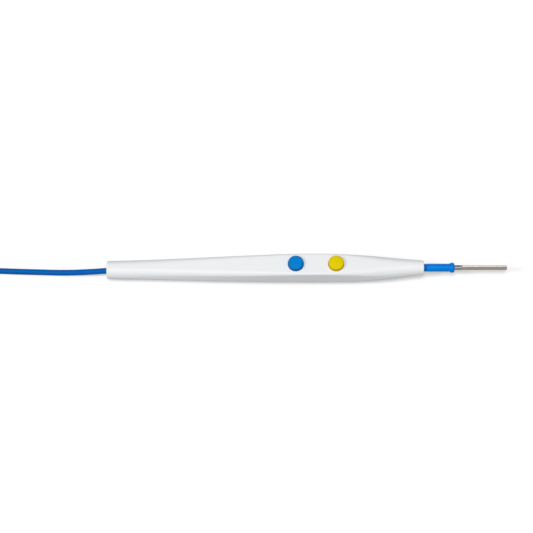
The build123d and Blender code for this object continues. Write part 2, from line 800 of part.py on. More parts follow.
# Plug body: a flat moulding that widens from the boot to the three pins, in two halves
coag_pin_y = plug_y + (active_to_cut_pitch + cut_to_coag_pitch) / 2
cut_pin_y = coag_pin_y - cut_to_coag_pitch
active_pin_y = cut_pin_y - active_to_cut_pitch
pin_places = (coag_pin_y, cut_pin_y, active_pin_y)
collar_rear_x = plug_front_x + plug_front_wall + pin_collar
pin_hold_x = collar_rear_x + pin_collar


def plug_outline(inset):
    """Plan of the plug, drawn in from its outside by the inset."""
    half_neck = plug_neck_width / 2
    half_width = plug_width / 2
    with BuildSketch() as plan:
        with BuildLine():
            FilletPolyline(
                (plug_face_x, plug_y + half_neck),
                (plug_face_x - plug_neck_length, plug_y + half_neck),
                (plug_face_x - plug_shoulder, plug_y + half_width),
                (plug_front_x, plug_y + half_width),
                (plug_front_x, plug_y - half_width),
                (plug_face_x - plug_shoulder, plug_y - half_width),
                (plug_face_x - plug_neck_length, plug_y - half_neck),
                (plug_face_x, plug_y - half_neck),
                radius=[0, plug_corner, plug_corner, 0, 0, plug_corner, plug_corner, 0],
                close=True,
            )
        make_face()
        offset(amount=-inset, kind=Kind.INTERSECTION)
    return plan.sketch


with BuildPart() as plug_body:
    extrude(plug_outline(0), amount=plug_thickness)
    fillet(plug_body.faces().filter_by(Axis.Z).edges(), plug_edge_round)
    with BuildSketch(Plane.XY.offset(plug_wall)):
        add(plug_outline(plug_wall))
        with Locations((plug_front_x, plug_y)):
            Rectangle(2 * plug_front_wall, plug_width, mode=Mode.SUBTRACT)
    extrude(amount=plug_thickness - 2 * plug_wall, mode=Mode.SUBTRACT)
    with Locations((pin_hold_x, plug_y, plug_thickness / 2)):
        Box(pin_collar, plug_width - 2 * plug_wall, plug_thickness - 2 * plug_wall)
    with BuildSketch(Plane.YZ.offset(plug_front_x - overrun)):
        with Locations(*((y, plug_axis_height) for y in pin_places)):
            Circle(pin_neck_diameter / 2 + pin_seat_clearance)
    extrude(amount=plug_front_wall + 2 * pin_collar + 2 * overrun, mode=Mode.SUBTRACT)
    with BuildSketch(Plane.YZ.offset(plug_face_x + overrun)):
        with Locations((plug_y, plug_axis_height)):
            Circle(boot_neck_diameter / 2 + pin_seat_clearance)
    extrude(amount=-plug_neck_length - overrun, mode=Mode.SUBTRACT)

with BuildPart() as plug_lower_shell:
    add(plug_body.part)
    split(bisect_by=Plane.XY.offset(plug_axis_height), keep=Keep.BOTTOM)

with BuildPart() as plug_upper_shell:
    add(plug_body.part)
    split(bisect_by=Plane.XY.offset(plug_axis_height), keep=Keep.TOP)


def contact_pin(y):
    """Turned pin with a round tip, a neck in the plug's wall, a collar behind it and a solder cup."""
    axis_origin = (0, y, plug_axis_height)
    pin_radius = pin_diameter / 2
    cup_end_x = pin_hold_x + pin_collar / 2 + pin_cup
    with BuildPart() as pin:
        with BuildSketch(Plane(origin=axis_origin, x_dir=(1, 0, 0), z_dir=(0, -1, 0))):
            with BuildLine():
                Polyline(
                    (plug_front_x - pin_length, 0),
                    (plug_front_x - pin_length, pin_radius),
                    (plug_front_x, pin_radius),
                    (plug_front_x, pin_neck_diameter / 2),
                    (plug_front_x + plug_front_wall, pin_neck_diameter / 2),
                    (plug_front_x + plug_front_wall, pin_collar_diameter / 2),
                    (pin_hold_x - pin_collar / 2, pin_collar_diameter / 2),
                    (pin_hold_x - pin_collar / 2, pin_neck_diameter / 2),
                    (cup_end_x, pin_neck_diameter / 2),
                    (cup_end_x, pin_cup_bore / 2),
                    (cup_end_x - pin_cup_depth, pin_cup_bore / 2),
                    (cup_end_x - pin_cup_depth, 0),
                    close=True,
                )
            make_face()
        revolve(axis=Axis(axis_origin, (1, 0, 0)))
        fillet(pin.faces().sort_by(Axis.X)[0].edges(), pin_tip_round)
    return pin.part


with BuildPart() as plug_active_pin:
    add(contact_pin(active_pin_y))

with BuildPart() as plug_cut_pin:
    add(contact_pin(cut_pin_y))

with BuildPart() as plug_coag_pin:
    add(contact_pin(coag_pin_y))

# Wires inside the plug, from the lead's core to the solder cups
with BuildPart() as plug_wires:
    cup_mouth_x = pin_hold_x + pin_collar / 2 + pin_cup
    for turn, y in (
        (core_turn / 2, coag_pin_y),
        (3 * core_turn / 2, cut_pin_y),
        (-core_turn / 2, active_pin_y),
    ):
        core_y = plug_y + wire_ring * sin(radians(turn))
        core_z = plug_axis_height + wire_ring * cos(radians(turn))
        wire_route = (
            (tail_route[-1][0], core_y, core_z),
            (plug_face_x - plug_neck_length, core_y, core_z),
            (cup_mouth_x + plug_wire_diameter, y, plug_axis_height),
            (cup_mouth_x - pin_cup_depth / 2, y, plug_axis_height),
        )
        add(tube(wire_route, plug_wire_diameter, [plug_wire_bend, plug_wire_bend]))

print("radii of the lead", [round(radius, 1) for radius in corner_radii(lead_route)])
print("radii of the tail", [round(radius, 1) for radius in corner_radii(tail_route)])

nodes = {
    "upper_shell": upper_shell,
    "lower_shell": lower_shell,
    "switch_board": switch_board,
    "dome_spacer": dome_spacer,
    "cut_dome": cut_dome,
    "coag_dome": coag_dome,
    "cut_button": cut_button,
    "coag_button": coag_button,
    "electrode_receptacle": electrode_receptacle,
    "receptacle_strap": receptacle_strap,
    "electrode_blade": electrode_blade,
    "electrode_sleeve": electrode_sleeve,
    "cable_anchor": cable_anchor,
    "active_wire": active_wire,
    "cut_wire": cut_wire,
    "coag_wire": coag_wire,
    "solder_joints": solder_joints,
    "cord_lead": cord_lead,
    "cord_hank": cord_hank,
    "cord_tail": cord_tail,
    "hank_tie": hank_tie,
    "plug_boot": plug_boot,
    "plug_lower_shell": plug_lower_shell,
    "plug_upper_shell": plug_upper_shell,
    "plug_active_pin": plug_active_pin,
    "plug_cut_pin": plug_cut_pin,
    "plug_coag_pin": plug_coag_pin,
    "plug_wires": plug_wires,
}
for name, piece in nodes.items():
    piece.part.label = name
    export_step(piece.part, f"parts/{name}.step")
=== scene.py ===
import bmesh
import bpy
import numpy as np
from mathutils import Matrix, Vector


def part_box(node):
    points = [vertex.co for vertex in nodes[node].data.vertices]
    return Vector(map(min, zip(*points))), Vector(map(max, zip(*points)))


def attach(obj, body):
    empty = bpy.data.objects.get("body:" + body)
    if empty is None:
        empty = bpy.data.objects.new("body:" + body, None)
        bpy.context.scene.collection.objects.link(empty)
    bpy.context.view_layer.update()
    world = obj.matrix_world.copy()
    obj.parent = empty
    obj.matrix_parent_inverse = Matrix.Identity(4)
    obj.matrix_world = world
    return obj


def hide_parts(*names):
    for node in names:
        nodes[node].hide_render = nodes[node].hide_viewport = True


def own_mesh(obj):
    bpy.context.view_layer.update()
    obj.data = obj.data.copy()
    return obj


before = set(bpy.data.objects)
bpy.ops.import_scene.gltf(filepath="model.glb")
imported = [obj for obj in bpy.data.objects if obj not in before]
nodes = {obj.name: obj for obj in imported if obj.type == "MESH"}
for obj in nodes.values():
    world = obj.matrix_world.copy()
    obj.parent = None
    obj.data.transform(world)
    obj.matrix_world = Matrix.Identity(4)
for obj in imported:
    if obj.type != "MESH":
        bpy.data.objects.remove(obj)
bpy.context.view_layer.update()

# The table and the light. The pencil lies on a pale sheet in even light from two directions, from above
# and from its left, square to the camera, which looks down at it steeply through a long lens.


class Socket:
    """One socket of a material's nodes: sums and products on it add Math nodes."""

    def __init__(self, tree, socket=None):
        self.tree = tree
        self.socket = socket

    def node(self, kind, settings=None, inputs=None, output=0):
        """Adds a node, sets its settings and its colour stops, then fills or links its inputs."""
        made = self.tree.nodes.new(kind)
        for name, value in (settings or {}).items():
            if name == "stops":
                ramp = made.color_ramp
                while len(ramp.elements) < len(value):
                    ramp.elements.new(1.0)
                for element, (place, colour) in zip(ramp.elements, value):
                    element.position = place
                    element.color = colour
            else:
                setattr(made, name, value)
        for name, value in (inputs or {}).items():
            if isinstance(value, Socket):
                self.tree.links.new(value.socket, made.inputs[name])
            else:
                made.inputs[name].default_value = value
        return Socket(self.tree, made.outputs[output] if made.outputs else None)

    def maths(self, operation, *values):
        return self.node("ShaderNodeMath", {"operation": operation}, dict(enumerate(values)))

    def __add__(self, other):
        return self.maths("ADD", self, other)

    def __radd__(self, other):
        return self.maths("ADD", other, self)

    def __sub__(self, other):
        return self.maths("SUBTRACT", self, other)

    def __rsub__(self, other):
        return self.maths("SUBTRACT", other, self)

    def __mul__(self, other):
        return self.maths("MULTIPLY", self, other)

    def __rmul__(self, other):
        return self.maths("MULTIPLY", other, self)


def new_material(name):
    """Empty node material, with the socket that starts its nodes."""
    material = bpy.data.materials.new(name)
    material.use_nodes = True
    material.node_tree.nodes.clear()
    return material, Socket(material.node_tree)


def in_view(start):
    """One for rays from the camera, also by way of a mirror or through glass, and nought for others."""
    rays = start.node("ShaderNodeLightPath").socket.node.outputs
    straight, mirrored, through = (
        Socket(start.tree, rays[name]) for name in ("Is Camera Ray", "Is Glossy Ray", "Is Transmission Ray")
    )
    return start.maths("MAXIMUM", start.maths("MAXIMUM", straight, mirrored), through)


table_colour = (0.34, 0.34, 0.34, 1)
table_share_of_light = 0.60
table_own_light = 0.432
table_half = 2.5
table_drop = 0.00002

material, start = new_material("table_paper")
plain = start.node("ShaderNodeBsdfDiffuse", inputs={"Color": table_colour})
shaded = start.node("ShaderNodeBsdfDiffuse", inputs={"Color": (table_share_of_light,) * 3 + (1,)})
white = start.node("ShaderNodeEmission", inputs={"Strength": table_own_light})
bright = start.node("ShaderNodeAddShader", inputs={0: shaded, 1: white})
mixed = start.node("ShaderNodeMixShader", inputs={0: in_view(start), 1: plain, 2: bright})
start.node("ShaderNodeOutputMaterial", inputs={"Surface": mixed})

table_mesh = bpy.data.meshes.new("table")
table_mesh.from_pydata(
    [(x * table_half, y * table_half, -table_drop) for x, y in ((-1, -1), (1, -1), (1, 1), (-1, 1))],
    [],
    [(0, 1, 2, 3)],
)
table_mesh.materials.append(material)
table = bpy.data.objects.new("table", table_mesh)
bpy.context.scene.collection.objects.link(table)

room_low = (0.10, 0.10, 0.105, 1)
room_high = (0.38, 0.38, 0.38, 1)
room_tilt = 0.35
paper_white = (1, 1, 1, 1)
white_up_to = 0.45
ceiling = (0.30, 0.30, 0.30, 1)
ceiling_from = 0.75

world = bpy.data.worlds.new("studio")
bpy.context.scene.world = world
world.use_nodes = True
world.node_tree.nodes.clear()
start = Socket(world.node_tree)
direction = start.node("ShaderNodeTexCoord", output="Generated")
height = start.node("ShaderNodeSeparateXYZ", inputs={0: direction}, output="Z")
away = start.node("ShaderNodeSeparateXYZ", inputs={0: direction}, output="Y")
room = start.node(
    "ShaderNodeValToRGB",
    {"stops": ((0.0, room_low), (1.0, room_high))},
    {"Fac": height - away * room_tilt},
)
backdrop = start.node(
    "ShaderNodeValToRGB",
    {"stops": ((0.0, paper_white), (white_up_to, paper_white), (ceiling_from, ceiling))},
    {"Fac": height},
)
room = start.node("ShaderNodeBackground", inputs={"Color": room, "Strength": 1.0})
backdrop = start.node("ShaderNodeBackground", inputs={"Color": backdrop, "Strength": 1.0})
mixed = start.node("ShaderNodeMixShader", inputs={0: in_view(start), 1: room, 2: backdrop})
start.node("ShaderNodeOutputWorld", inputs={"Surface": mixed})


def soft_lamp(name, place, spread, strength):
    """Even light from one direction: a sun that shines from its place to the origin, with soft shadows."""
    light = bpy.data.lights.new(name, "SUN")
    light.angle = np.radians(spread)
    light.energy = strength
    lamp = bpy.data.objects.new(name, light)
    lamp.location = place
    lamp.rotation_euler = Vector(place).to_track_quat("Z", "Y").to_euler()
    bpy.context.scene.collection.objects.link(lamp)


soft_lamp("lamp_overhead", (-0.10, -0.24, 1.10), 18.0, 1.58)
soft_lamp("lamp_left", (-0.96, -0.34, 1.05), 12.0, 0.91)

view_middle = (-0.0185, 0.00168, 0.006)
camera_elevation = np.radians(67.0)
camera_lens = 120.0
picture_width = 0.2457
camera_data = bpy.data.cameras.new("camera")
camera_data.lens = camera_lens
camera_data.clip_start = 0.01
camera_data.clip_end = 20.0
camera_distance = picture_width * camera_lens / camera_data.sensor_width
camera = bpy.data.objects.new("camera", camera_data)
camera.location = Vector(view_middle) + camera_distance * Vector(
    (0, -np.cos(camera_elevation), np.sin(camera_elevation))
)
camera.rotation_euler = (np.pi / 2 - camera_elevation, 0, 0)
bpy.context.scene.collection.objects.link(camera)
bpy.context.scene.camera = camera
bpy.context.scene.view_settings.view_transform = "Standard"

# The lead. One round three-core cable with a smooth, soft blue jacket runs from the ferrule inside the
# handle to the plug; all but its first stretch is wound flat as a hank, four turns wide and four high.

cord_diameter = 0.0027
lead_route = (
    (-0.0780, 0.0, 0.0052),
    (-0.0915, 0.0, 0.0052),
    (-0.0975, -0.0001, 0.0041),
    (-0.1110, 0.0004, 0.00135),
    (-0.1250, 0.0008, 0.00135),
    (-0.1410, 0.0013, 0.00135),
    (-0.1600, 0.0024, 0.00135),
)
tail_route = (
    (-0.2120, 0.0024, 0.00945),
    (-0.2200, 0.0024, 0.00945),
    (-0.2272, -0.0014, 0.0095),
    (-0.2328, -0.0097, 0.00945),
    (-0.2404, -0.0137, 0.0083),
    (-0.2505, -0.0137, 0.0060),
    (-0.2620, -0.0137, 0.0055),
    (-0.2730, -0.0137, 0.0055),
)
hank_columns = 4
hank_rows = 4
hank_waist_x = -0.192
hank_y = -0.0138
hank_run = 0.048
fold_radius = 3 * cord_diameter
waist_pitch = 0.00245
waist_pull = 0.08
waist_pull_power = 8
waist_foot = 0.0020
waist_rise = 0.00225
points_per_run = 7
points_per_fold = 6
wander = 0.00006


def smooth_step(share):
    """Three squares less two cubes of the share, which starts and ends level."""
    return share * share * (3 - 2 * share)


def hank_turn(column, row, next_column, next_row):
    """One turn as a run, the far fold, the run back and the near fold, where it moves to the next place.

    A run's distance from the hank's middle is the fold's radius, drawn in to the waist by a cosine,
    and a little more at the tie; a fold is a half circle, whose points stand out by
    1 / cos(half their step), as a quadratic spline cuts inside its points by that much.
    Gives the first run, and the whole turn.
    """
    radius = fold_radius + column * cord_diameter
    level = (row + 0.5) * cord_diameter
    along = np.linspace(1, -1, points_per_run)[:-1] * hank_run / 2
    waist = 0.5 + 0.5 * np.cos(2 * np.pi * along / hank_run)
    waist += waist_pull * waist**waist_pull_power
    across = radius + waist * ((column + 0.5) * waist_pitch - radius)
    rise = level + waist * (waist_foot + row * waist_rise - level)
    angle = np.linspace(0, np.pi, points_per_fold + 1)[:-1]
    spread = 1 + (1 / np.cos(np.pi / points_per_fold / 2) - 1) * np.sin(angle)
    going = np.stack([hank_waist_x + along, hank_y + across, rise], 1)
    far = np.stack(
        [
            hank_waist_x - hank_run / 2 - radius * spread * np.sin(angle),
            hank_y + radius * spread * np.cos(angle),
            np.full_like(angle, level),
        ],
        1,
    )
    back = np.stack([hank_waist_x - along, hank_y - across, rise], 1)
    share = smooth_step(angle / np.pi)
    shifted = radius + share * (next_column - column) * cord_diameter
    near = np.stack(
        [
            hank_waist_x + hank_run / 2 + shifted * spread * np.sin(angle),
            hank_y - shifted * spread * np.cos(angle),
            level + share * (next_row - row) * cord_diameter,
        ],
        1,
    )
    return going, np.concatenate([going, far, back, near])


places = []
for row in range(hank_rows):
    columns = range(hank_columns) if row % 2 else reversed(range(hank_columns))
    places += [(column, row) for column in columns]
turns = []
for (column, row), (next_column, next_row) in zip(places, places[1:]):
    turns.append(hank_turn(column, row, next_column, next_row)[1])
turns.append(hank_turn(*places[-1], *places[-1])[0])
hank = np.concatenate(turns)
hank[:, :2] += np.random.default_rng(7).normal(0, wander, (len(hank), 2))
# The lead's route takes the place of the hank's first two points, and the tail's that of its last.
lead_points = np.concatenate([lead_route, hank[2:-1], tail_route])

lead_curve = bpy.data.curves.new("lead", "CURVE")
lead_curve.dimensions = "3D"
lead_curve.resolution_u = 4
lead_curve.bevel_resolution = 5
lead_curve.use_fill_caps = True
spline = lead_curve.splines.new("NURBS")
spline.points.add(len(lead_points) - 1)
spline.points.foreach_set("co", np.hstack([lead_points, np.ones((len(lead_points), 1))]).ravel())
spline.order_u = 3
spline.use_endpoint_u = True
lead = bpy.data.objects.new("lead", lead_curve)
bpy.context.scene.collection.objects.link(lead)
bpy.context.view_layer.update()
line = bpy.data.meshes.new_from_object(lead)
centre_line = np.empty(len(line.vertices) * 3)
line.vertices.foreach_get("co", centre_line)
centre_line = centre_line.reshape(-1, 3)
lead_curve.bevel_depth = cord_diameter / 2

drift_scale = 60.0
drift_share = 0.7
drift_share_lost = 0.5
grain_share = 0.03
drift_roughness = 0.10
grain_roughness = 0.12
coat_roughness = 0.12
seam_width = 0.00016
seam_shade = 0.3


def plastic(name, colour, shift, roughness, grain, relief, coat=0.0, gloss=0.5, painted_light_weight=0.0, seam=None):
    """Moulded plastic: its colour drifts a little over the piece, its roughness and relief follow a fine
    grain. One with a painted light weight also shifts its colour by the mesh's attribute named tone, which
    holds painted light and shade. A seam is a dark line at one height, faded out over the seam's width."""
    material, start = new_material(name)
    place = start.node("ShaderNodeTexCoord", output="Object")
    drift = start.node("ShaderNodeTexNoise", inputs={"Vector": place, "Scale": drift_scale, "Detail": 3.0})
    fine = start.node("ShaderNodeTexNoise", inputs={"Vector": place, "Scale": grain, "Detail": 4.0})
    tone = drift * (drift_share - drift_share_lost * painted_light_weight) + fine * grain_share
    # The attribute named tone carries painted light and shade, weighted by the painted light weight.
    if painted_light_weight:
        tone = tone + start.node("ShaderNodeAttribute", {"attribute_name": "tone"}, output="Fac") * painted_light_weight
    mixed = start.node(
        "ShaderNodeMix",
        {"data_type": "RGBA"},
        {"Factor": tone, "A": (*colour, 1), "B": (*shift, 1)},
        output="Result",
    )
    if seam:
        height = start.node("ShaderNodeSeparateXYZ", inputs={0: place}, output="Z")
        distance = start.maths("ABSOLUTE", height - seam)
        dark = (*(seam_shade * part for part in colour), 1)
        mixed = start.node(
            "ShaderNodeMix",
            {"data_type": "RGBA"},
            {"Factor": distance * (1 / seam_width), "A": dark, "B": mixed},
            output="Result",
        )
    relief_normal = start.node(
        "ShaderNodeBump", inputs={"Strength": 1.0, "Distance": relief, "Height": fine}, output="Normal"
    )
    shader = start.node(
        "ShaderNodeBsdfPrincipled",
        inputs={
            "Base Color": mixed,
            "Roughness": roughness + (drift - 0.5) * drift_roughness + (fine - 0.5) * grain_roughness,
            "Normal": relief_normal,
            "Coat Weight": coat,
            "Coat Roughness": coat_roughness,
            "Specular IOR Level": gloss,
        },
    )
    start.node("ShaderNodeOutputMaterial", inputs={"Surface": shader})
    return material


jacket = plastic("cable_jacket", (0.0, 0.105, 0.42), (0.0, 0.13, 0.49), 0.40, 2600.0, 0.00001, gloss=0.05)
lead_curve.materials.append(jacket)
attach(lead, "handle")
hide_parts("cord_lead", "cord_hank", "cord_tail")

# The handle's two shells. White plastic mouldings, six-sided with rounded corners: flat and wide under
# the buttons, nearly round at the nose. They meet along the widest line, where a fine groove shows.

handle_length = 0.1456
handle_height = 0.013
handle_width = 0.0118
wall = 0.0013
inner_corner = 0.0003
tail_wall = 0.0015
nose_wall = 0.005
tail_edge_round = 0.0007
nose_edge_round = 0.00035
parting_height = 0.0057
nose_axis_height = 0.0086
parting_bend_share = 0.776
parting_bend = 0.004
groove = 0.00011
lip_thickness = 0.0006
lip_height = 0.0008
lip_clearance = 0.00005
cord_exit_height = 0.0052
cord_hole_clearance = 0.00025
nose_line = 0.00006
nose_line_setback = 0.0014
nose_line_width = 0.00022
# Each station's place along the handle, its top and bottom as shares of the height, then of half the width
# the reach of the deck, the sides and the belly, and the rounding of their corners.
station_shares = np.array(
    (
        (0.000, 0.748, 0.127, 0.440, 0.807, 0.403, 0.640, 0.640, 0.640),
        (0.120, 0.787, 0.086, 0.560, 0.821, 0.449, 0.600, 0.584, 0.571),
        (0.250, 0.842, 0.040, 0.690, 0.884, 0.518, 0.500, 0.536, 0.536),
        (0.390, 0.907, -0.002, 0.810, 0.960, 0.571, 0.400, 0.510, 0.510),
        (0.549, 0.993, -0.012, 0.893, 1.010, 0.610, 0.270, 0.510, 0.510),
        (0.728, 0.999, -0.012, 0.881, 1.010, 0.610, 0.203, 0.510, 0.510),
        (0.800, 0.980, 0.010, 0.850, 0.985, 0.587, 0.420, 0.510, 0.510),
        (0.863, 0.966, 0.092, 0.755, 0.924, 0.525, 0.640, 0.540, 0.510),
        (0.926, 0.945, 0.250, 0.530, 0.805, 0.432, 0.660, 0.640, 0.600),
        (0.976, 0.930, 0.362, 0.395, 0.686, 0.356, 0.570, 0.560, 0.560),
        (1.000, 0.914, 0.412, 0.340, 0.636, 0.318, 0.508, 0.508, 0.508),
    )
)
tail_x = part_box("upper_shell")[0].x
nose_x = tail_x + handle_length


def spline_through(knots, values, x):
    """Natural cubic spline, one column of values at a time: its second derivatives solve one linear
    system, with none at its ends."""
    step = np.diff(knots)[:, None]
    slope = np.diff(values, axis=0) / step
    count = len(knots)
    system = np.eye(count)
    inner = np.arange(1, count - 1)
    system[inner, inner - 1] = step[:-1, 0]
    system[inner, inner] = 2 * (step[:-1, 0] + step[1:, 0])
    system[inner, inner + 1] = step[1:, 0]
    right_side = np.zeros_like(values)
    right_side[1:-1] = 6 * np.diff(slope, axis=0)
    bend = np.linalg.solve(system, right_side)
    x = np.clip(x, knots[0], knots[-1])
    k = np.clip(np.searchsorted(knots, x) - 1, 0, count - 2)
    t = (x - knots[k])[:, None]
    h = step[k]
    return (
        values[k]
        + t * (slope[k] - h * (2 * bend[k] + bend[k + 1]) / 6)
        + t**2 * bend[k] / 2
        + t**3 * (bend[k + 1] - bend[k]) / (6 * h)
    )


def parting_level(x):
    """Height of the shells' meeting line: level, then rising straight to the nose, with a soft bend."""
    bend_x = tail_x + parting_bend_share * handle_length
    past = x - bend_x
    soft = (past + np.sqrt(past**2 + parting_bend**2)) / 2
    return parting_height + soft * (nose_axis_height - parting_height) / (nose_x - bend_x)


def corner_arcs(corners, radii):
    """Centre, first and last angle of the arc that rounds each corner of outlines that run clockwise."""
    arriving = corners - np.roll(corners, 1, axis=-2)
    arriving /= np.linalg.norm(arriving, axis=-1, keepdims=True)
    leaving = np.roll(arriving, -1, axis=-2)
    turn = np.arccos(np.clip((arriving * leaving).sum(-1), -1, 1))
    start = corners - arriving * (radii * np.tan(turn / 2))[..., None]
    outward = np.stack([-arriving[..., 1], arriving[..., 0]], -1)
    first = np.arctan2(outward[..., 1], outward[..., 0])
    return start - outward * radii[..., None], first, first - turn


def drawn_in(corners, inset):
    """Each corner of clockwise outlines, moved in so that both its sides move in by the inset."""
    side = np.roll(corners, -1, axis=-2) - corners
    side /= np.linalg.norm(side, axis=-1, keepdims=True)
    inward = np.stack([side[..., 1], -side[..., 0]], -1)
    before = np.roll(inward, 1, axis=-2)
    return corners + (before + inward) * (inset / (1 + (before * inward).sum(-1)))[..., None]


def trimmed(outlines, level, upper):
    """Outlines that end where they cross their level: each point past it moves to the crossing."""
    past = (outlines[..., 1] < level[:, None]) if upper else (outlines[..., 1] > level[:, None])
    first = np.argmax(past, 1)
    row = np.arange(len(outlines))
    before, after = outlines[row, first - 1], outlines[row, first]
    share = (level - before[:, 1]) / (after[:, 1] - before[:, 1])
    crossing = before + share[:, None] * (after - before)
    return np.where(past[..., None], crossing[:, None], outlines)


def half_outlines(x, inset, upper, lift, arc_steps=12, flat_steps=5):
    """Outline of each cross-section from its cut on one side to that on the other, over the deck or
    under the belly: flats and arcs of the right half, then their mirror image. The cut lies at the
    meeting level plus the lift, and the belly is flat where it would pass below the table."""
    straight_length = handle_length - tail_edge_round - nose_edge_round
    knots = tail_x + tail_edge_round + station_shares[:, 0] * straight_length
    top, bottom, deck, side, belly, deck_round, side_round, belly_round = spline_through(
        knots, station_shares[:, 1:], x
    ).T
    half = handle_width / 2
    level = parting_level(x)
    right = [
        np.stack([deck * half, top * handle_height], -1),
        np.stack([side * half, level], -1),
        np.stack([belly * half, bottom * handle_height], -1),
    ]
    left = [corner * np.array([-1, 1]) for corner in right]
    corners = drawn_in(np.stack([left[0], *right, left[2], left[1]], 1), inset[:, None])
    radii = np.stack([deck_round, deck_round, side_round, belly_round, belly_round, side_round], 1) * half
    radii = np.maximum(radii - inset[:, None], inner_corner)
    centre, first, last = corner_arcs(corners, radii)

    def arc(corner):
        share = np.linspace(0, 1, arc_steps)
        angle = first[:, corner, None] + (last - first)[:, corner, None] * share
        direction = np.stack([np.cos(angle), np.sin(angle)], -1)
        return centre[:, corner, None] + radii[:, corner, None, None] * direction

    if upper:
        run = [arc(1), arc(2), arc(3)[:, :1]]
    else:
        run = [arc(3)[:, ::-1], arc(2)[:, ::-1], arc(1)[:, -1:]]
    share = np.linspace(0, 1, flat_steps, endpoint=False)[:, None]
    flat = run[0][:, :1] * np.concatenate([share, np.ones_like(share)], 1)
    points = trimmed(np.concatenate([flat, *run], 1), level + lift, upper)
    points[..., 1] = np.maximum(points[..., 1], 0)
    return np.concatenate([points[:, :0:-1] * np.array([-1, 1]), points], 1)


def hole_outlines(x, reach, height, upper, count, steepest=0.95):
    """Half of a hole's outline at each cross-section, left to right over or under its axis: its distance
    from the axis is a function of the angle. The cut between the halves stays off the hole's top."""
    cut = (parting_level(x) - height) / reach(np.zeros(1))
    start = np.arcsin(np.clip(cut, -steepest, steepest))[:, None]
    share = np.linspace(0, 1, count)
    far = np.pi - start if upper else -np.pi - start
    angle = far * (1 - share) + start * share
    distance = reach(angle)
    return np.stack([distance * np.cos(angle), height + distance * np.sin(angle)], -1)


def join_doubles(mesh, outwards=True, nearest=1e-7):
    """Merges the points that lie together, and turns the faces outwards."""
    shape = bmesh.new()
    shape.from_mesh(mesh)
    bmesh.ops.remove_doubles(shape, verts=shape.verts, dist=nearest)
    if outwards:
        bmesh.ops.recalc_face_normals(shape, faces=shape.faces)
    shape.to_mesh(mesh)
    shape.free()


def placed(name, mesh, body, sharp):
    """Object that rides on its body, smooth but for the edges over the sharp angle."""
    mesh.shade_smooth()
    mesh.set_sharp_from_angle(angle=np.radians(sharp))
    piece = bpy.data.objects.new(name, mesh)
    bpy.context.scene.collection.objects.link(piece)
    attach(piece, body)
    return piece


def solid_piece(name, points, faces, body, material, sharp, tone=None):
    """Closed piece from points and faces. A tone, painted light and shade, goes with each point as an
    attribute of the mesh.
    """
    mesh = bpy.data.meshes.new(name)
    mesh.from_pydata(points.reshape(-1, 3).tolist(), [], faces)
    if tone is not None:
        mesh.attributes.new("tone", "FLOAT", "POINT").data.foreach_set("value", tone.ravel())
    join_doubles(mesh)
    mesh.materials.append(material)
    return placed(name, mesh, body, sharp)


def grid_faces(rows, columns, closed_rows=False, closed_columns=False):
    """Four-sided faces between neighbouring points of a grid."""
    i = np.arange(rows if closed_rows else rows - 1)[:, None]
    j = np.arange(columns if closed_columns else columns - 1)[None]
    along = (i + 1) % rows
    across = (j + 1) % columns
    corners = [i * columns + j, i * columns + across, along * columns + across, along * columns + j]
    return np.stack(corners, -1).reshape(-1, 4).tolist()


end_round_rings = 8
tail_wall_rings = 4
cavity_rings = 190
nose_wall_rings = 36
shell_sharp = 28.0
wall_face = 0.000001
turn = np.linspace(0, np.pi / 2, end_round_rings)
tail_round_x = tail_x + tail_edge_round * (1 - np.cos(turn))
nose_round_x = nose_x - nose_edge_round * (1 - np.cos(turn))[::-1]
cavity_rear = tail_x + tail_wall
cavity_front = nose_x - nose_wall
shell_x = np.concatenate(
    [
        tail_round_x,
        np.linspace(tail_x + tail_edge_round, cavity_rear, tail_wall_rings)[1:-1],
        [cavity_rear - wall_face, cavity_rear + wall_face],
        np.linspace(cavity_rear, cavity_front, cavity_rings)[1:-1],
        [cavity_front - wall_face, cavity_front + wall_face],
        np.linspace(cavity_front, nose_x - nose_edge_round, nose_wall_rings)[1:-1],
        nose_round_x,
    ]
)
end_inset = np.zeros_like(shell_x)
end_inset[: len(turn)] = tail_edge_round * (1 - np.sin(turn))
end_inset[-len(turn):] = nose_edge_round * (1 - np.sin(turn))[::-1]
end_inset += nose_line * np.exp(-(((shell_x - nose_x + nose_line_setback) / nose_line_width) ** 2))

sleeve_radius = 0.00184
sleeve_flat = 0.00170
socket_clearance = 0.00005


def hexagon(angle):
    """Distance from the axis to a hexagon, the flat's over the cosine of the angle from its middle, with
    the corners cut by a circle."""
    sixth = np.pi / 3
    flat = (sleeve_flat + socket_clearance) / np.cos(np.mod(angle, sixth) - sixth / 2)
    return np.minimum(flat, sleeve_radius + socket_clearance)


def lead_hole(angle):
    """Distance from the axis to a circle, the same at each angle."""
    return np.full_like(angle, cord_diameter / 2 + cord_hole_clearance)


